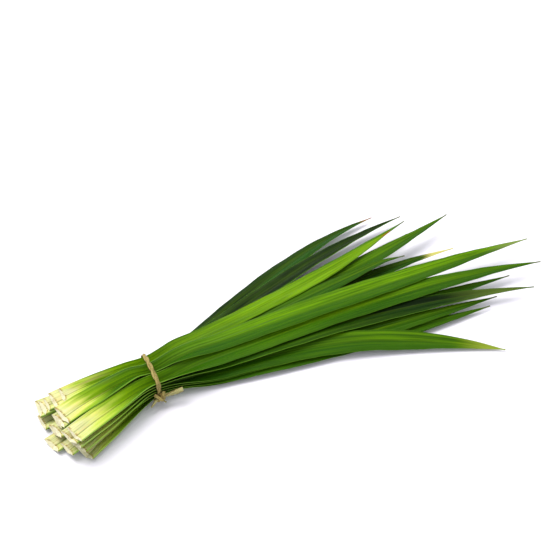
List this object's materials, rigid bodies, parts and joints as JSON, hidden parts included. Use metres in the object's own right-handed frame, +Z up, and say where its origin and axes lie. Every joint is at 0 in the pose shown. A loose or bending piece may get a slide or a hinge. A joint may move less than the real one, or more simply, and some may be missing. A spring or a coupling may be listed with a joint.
{
  "type": "pandan leaf bunch",
  "caption": "Bunch of long keeled pandan leaves, pale at their cut ends and green towards fanned tips, tied with a strip of dried fibre and lying on its side.",
  "frame": {"origin": "on the surface that the bunch lies on, under the middle of the tie", "axes": "+X along the bunch from the cut ends to the tips, +Y across the fan, +Z up"},
  "size_m": [0.4861, 0.2102, 0.0307],
  "materials": {
    "leaf": "smooth green blade, satin, pale cream at the cut end",
    "fibre": "dry, matt, fibrous"
  },
  "bodies": {
    "root": {"leaf_01": "leaf", "leaf_02": "leaf", "leaf_03": "leaf", "leaf_04": "leaf", "leaf_05": "leaf", "leaf_06": "leaf", "leaf_07": "leaf", "leaf_08": "leaf", "leaf_09": "leaf", "leaf_10": "leaf", "leaf_11": "leaf", "leaf_12": "leaf", "leaf_13": "leaf", "leaf_14": "leaf", "leaf_15": "leaf", "leaf_16": "leaf", "leaf_17": "leaf", "leaf_18": "leaf", "tie": "fibre"}
  },
  "joints": []
}
